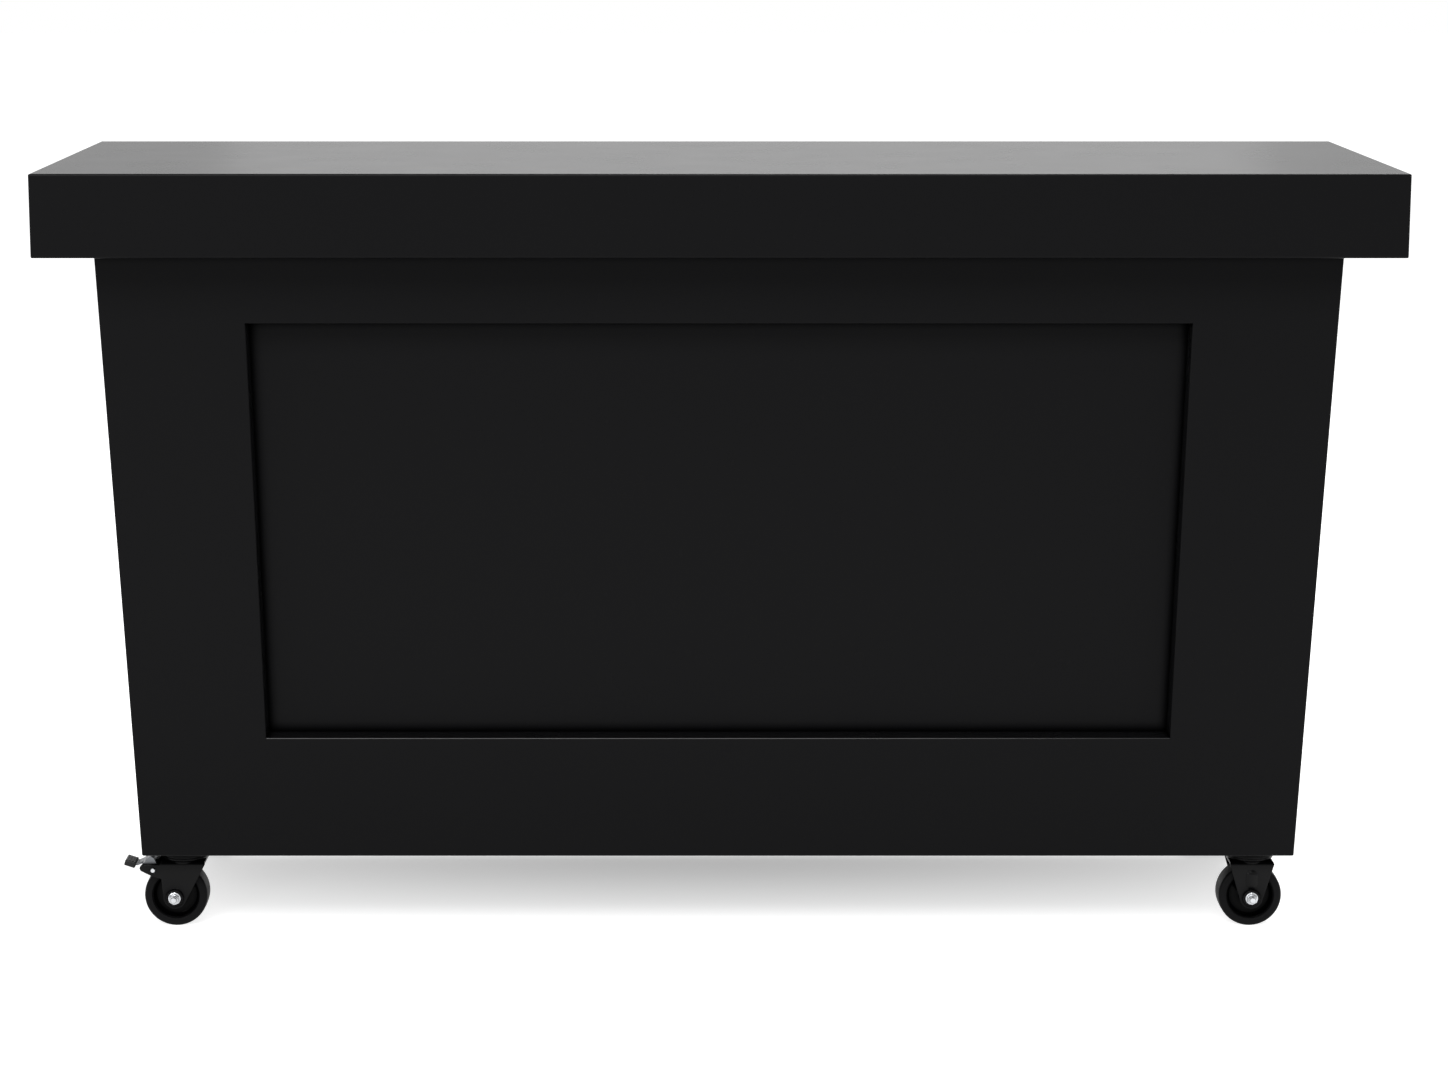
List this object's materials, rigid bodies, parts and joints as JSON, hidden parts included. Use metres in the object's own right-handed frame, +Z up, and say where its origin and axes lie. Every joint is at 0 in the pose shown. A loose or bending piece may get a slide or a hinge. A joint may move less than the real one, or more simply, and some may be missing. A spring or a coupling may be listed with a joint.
{
  "type": "bar counter",
  "caption": "Mobile bar counter with a thick box-section top, a body that leans in towards the floor, an inset front panel, open back shelves and casters, the left ones with brakes.",
  "frame": {"origin": "on the floor under the middle of the top", "axes": "+X along the counter towards its fixed casters, +Y towards the open back, +Z up"},
  "size_m": [1.83, 0.61, 1.07],
  "materials": {
    "black_lacquered_board": "satin black sprayed lacquer on fibreboard",
    "bare_plywood": "sawn",
    "black_steel": "black powder-coated pressed steel",
    "zinc_plated_steel": "bright zinc plate",
    "ball_steel": "polished",
    "lever_steel": "plated stamped steel",
    "wheel_plastic": "gloss black moulding",
    "tyre_rubber": "satin black rubber",
    "pedal_plastic": "matt black moulding"
  },
  "bodies": {
    "root": {"top_panel": "black_lacquered_board", "front_apron": "black_lacquered_board", "rear_apron": "black_lacquered_board", "left_apron": "black_lacquered_board", "right_apron": "black_lacquered_board", "top_ribs": "bare_plywood", "soffit_panel": "black_lacquered_board", "left_stile": "black_lacquered_board", "right_stile": "black_lacquered_board", "top_rail": "black_lacquered_board", "bottom_rail": "black_lacquered_board", "infill_panel": "black_lacquered_board", "left_end_panel": "black_lacquered_board", "right_end_panel": "black_lacquered_board", "base_deck": "black_lacquered_board", "centre_divider": "black_lacquered_board", "left_shelf": "black_lacquered_board", "right_shelf": "black_lacquered_board", "shelf_pins": "zinc_plated_steel", "top_stretchers": "black_lacquered_board", "top_screws": "zinc_plated_steel", "caster_screws": "zinc_plated_steel", "kingpins": "zinc_plated_steel", "front_fixed_plate": "black_steel", "rear_fixed_plate": "black_steel", "front_fixed_fork": "black_steel", "rear_fixed_fork": "black_steel", "fixed_fork_rivets": "zinc_plated_steel", "fixed_axle_bolts": "zinc_plated_steel", "fixed_axle_nuts": "zinc_plated_steel", "fixed_axle_sleeves": "zinc_plated_steel", "front_swivel_plate": "black_steel", "rear_swivel_plate": "black_steel"},
    "front_left_swivel": {"front_bearing_balls": "ball_steel", "front_race_cap": "black_steel", "front_swivel_fork": "black_steel", "front_axle_bolt": "zinc_plated_steel", "front_axle_nut": "zinc_plated_steel", "front_axle_sleeve": "zinc_plated_steel", "front_brake_rivet": "zinc_plated_steel"},
    "front_left_wheel": {"front_swivel_wheel": "wheel_plastic", "front_swivel_tyre": "tyre_rubber"},
    "front_left_brake": {"front_brake_lever": "lever_steel", "front_brake_pedal": "pedal_plastic"},
    "front_right_wheel": {"front_fixed_wheel": "wheel_plastic", "front_fixed_tyre": "tyre_rubber"},
    "rear_left_swivel": {"rear_bearing_balls": "ball_steel", "rear_race_cap": "black_steel", "rear_swivel_fork": "black_steel", "rear_axle_bolt": "zinc_plated_steel", "rear_axle_nut": "zinc_plated_steel", "rear_axle_sleeve": "zinc_plated_steel", "rear_brake_rivet": "zinc_plated_steel"},
    "rear_left_wheel": {"rear_swivel_wheel": "wheel_plastic", "rear_swivel_tyre": "tyre_rubber"},
    "rear_left_brake": {"rear_brake_lever": "lever_steel", "rear_brake_pedal": "pedal_plastic"},
    "rear_right_wheel": {"rear_fixed_wheel": "wheel_plastic", "rear_fixed_tyre": "tyre_rubber"}
  },
  "joints": [
    {"name": "front_left_swivel_turn", "type": "hinge", "parent": "root", "child": "front_left_swivel", "pos_m": [-0.751, -0.154, 0.1], "axis": [0, 0, 1], "continuous": true},
    {"name": "front_left_wheel_spin", "type": "hinge", "parent": "front_left_swivel", "child": "front_left_wheel", "pos_m": [-0.763, -0.154, 0.0445], "axis": [0, 1, 0], "continuous": true},
    {"name": "front_left_brake_press", "type": "hinge", "parent": "front_left_swivel", "child": "front_left_brake", "pos_m": [-0.79291, -0.154, 0.08419], "axis": [0, -1, 0], "range_deg": [0, 18]},
    {"name": "front_right_wheel_spin", "type": "hinge", "parent": "root", "child": "front_right_wheel", "pos_m": [0.751, -0.154, 0.0445], "axis": [0, 1, 0], "continuous": true},
    {"name": "rear_left_swivel_turn", "type": "hinge", "parent": "root", "child": "rear_left_swivel", "pos_m": [-0.751, 0.217, 0.1], "axis": [0, 0, 1], "continuous": true},
    {"name": "rear_left_wheel_spin", "type": "hinge", "parent": "rear_left_swivel", "child": "rear_left_wheel", "pos_m": [-0.763, 0.217, 0.0445], "axis": [0, 1, 0], "continuous": true},
    {"name": "rear_left_brake_press", "type": "hinge", "parent": "rear_left_swivel", "child": "rear_left_brake", "pos_m": [-0.79291, 0.217, 0.08419], "axis": [0, -1, 0], "range_deg": [0, 18]},
    {"name": "rear_right_wheel_spin", "type": "hinge", "parent": "root", "child": "rear_right_wheel", "pos_m": [0.751, 0.217, 0.0445], "axis": [0, 1, 0], "continuous": true}
  ]
}
